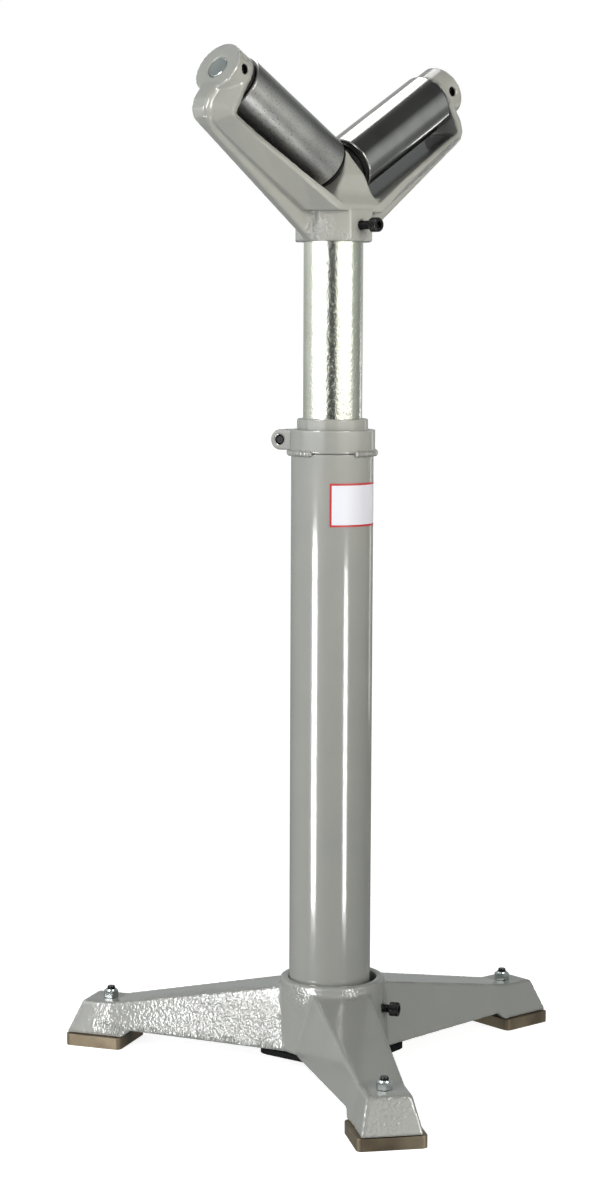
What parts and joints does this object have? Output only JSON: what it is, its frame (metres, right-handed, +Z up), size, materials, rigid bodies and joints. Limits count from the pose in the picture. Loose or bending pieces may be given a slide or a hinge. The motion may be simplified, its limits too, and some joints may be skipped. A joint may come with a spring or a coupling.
{
  "type": "v roller stand",
  "caption": "Pedestal pipe stand: a cast three-legged base, a clamped sliding post and a cast V head with free-running steel rollers.",
  "frame": {"origin": "on the floor, at the middle of the stand's bounding box; the column's axis stands at x = -0.0446 m, y = 0.0024 m", "axes": "+Z up, +X along the leg that is named right, +Y away from the side that carries the lock screws"},
  "size_m": [0.4354, 0.4796, 0.9338],
  "materials": {
    "cast_paint": "gloss grey with an orange-peel texture over cast iron",
    "tube_paint": "smooth gloss grey",
    "black_paint": "satin black",
    "post_plate": "bright zinc plate with a faint yellow tint",
    "zinc_plate": "zinc plate",
    "roller_steel": "polished lengthwise",
    "bearing_steel": "ground",
    "black_oxide": "black oxide, lightly oiled",
    "pad_metal": "brown, with a fine lengthwise grain",
    "black_rubber": "matt"
  },
  "bodies": {
    "base": {"base_casting": "cast_paint", "base_plate": "black_paint", "foot_pad_right": "pad_metal", "foot_bolt_right": "black_oxide", "foot_nut_right": "zinc_plate", "plate_screw_right": "zinc_plate", "foot_pad_left": "pad_metal", "foot_bolt_left": "black_oxide", "foot_nut_left": "zinc_plate", "plate_screw_left": "zinc_plate", "foot_pad_front": "pad_metal", "foot_bolt_front": "black_oxide", "foot_nut_front": "zinc_plate", "plate_screw_front": "zinc_plate", "column_tube": "tube_paint", "clamp_collar": "tube_paint", "collar_weld_right": "tube_paint", "collar_weld_left": "tube_paint", "guide_sleeve": "tube_paint"},
    "post": {"post_tube": "post_plate"},
    "head": {"yoke": "cast_paint", "axle_right": "zinc_plate", "axle_set_screw_right": "black_oxide", "axle_left": "zinc_plate", "axle_set_screw_left": "black_oxide", "inner_race_right_lower": "bearing_steel", "inner_race_right_upper": "bearing_steel", "inner_race_left_lower": "bearing_steel", "inner_race_left_upper": "bearing_steel", "dust_ring_right_lower": "black_rubber", "dust_ring_right_upper": "black_rubber", "dust_ring_left_lower": "black_rubber", "dust_ring_left_upper": "black_rubber"},
    "roller_right": {"roller_right": "roller_steel", "outer_race_right_lower": "bearing_steel", "outer_race_right_upper": "bearing_steel"},
    "roller_left": {"roller_left": "roller_steel", "outer_race_left_lower": "bearing_steel", "outer_race_left_upper": "bearing_steel"},
    "clamp_screw": {"clamp_screw": "black_oxide"},
    "base_lock_screw": {"base_lock_screw": "black_oxide"},
    "head_lock_screw": {"head_lock_screw": "black_oxide"}
  },
  "joints": [
    {"name": "post_height", "type": "slide", "parent": "base", "child": "post", "axis": [0, 0, 1], "range_m": [-0.158, 0.225]},
    {"name": "head_swivel", "type": "hinge", "parent": "post", "child": "head", "pos_m": [-0.04464, 0.00238, 0.767], "axis": [0, 0, 1], "continuous": true},
    {"name": "roller_right_spin", "type": "hinge", "parent": "head", "child": "roller_right", "pos_m": [0.02771, 0.00999, 0.8688], "axis": [0.8613, 0.0905, 0.5], "continuous": true},
    {"name": "roller_left_spin", "type": "hinge", "parent": "head", "child": "roller_left", "pos_m": [-0.11699, -0.00522, 0.8688], "axis": [-0.8613, -0.0905, 0.5], "continuous": true},
    {"name": "clamp_screw_turn", "type": "hinge", "parent": "base", "child": "clamp_screw", "pos_m": [-0.06191, 0.04984, 0.5863], "axis": [0.9397, 0.342, 0], "range_deg": [0, 720]},
    {"name": "base_lock_screw_turn", "type": "hinge", "parent": "base", "child": "base_lock_screw", "pos_m": [-0.01447, -0.04988, 0.0575], "axis": [0.5, -0.866, 0], "range_deg": [0, 720]},
    {"name": "head_lock_screw_turn", "type": "hinge", "parent": "head", "child": "head_lock_screw", "pos_m": [-0.03967, -0.04491, 0.7815], "axis": [0.1045, -0.9945, 0], "range_deg": [0, 720]}
  ]
}
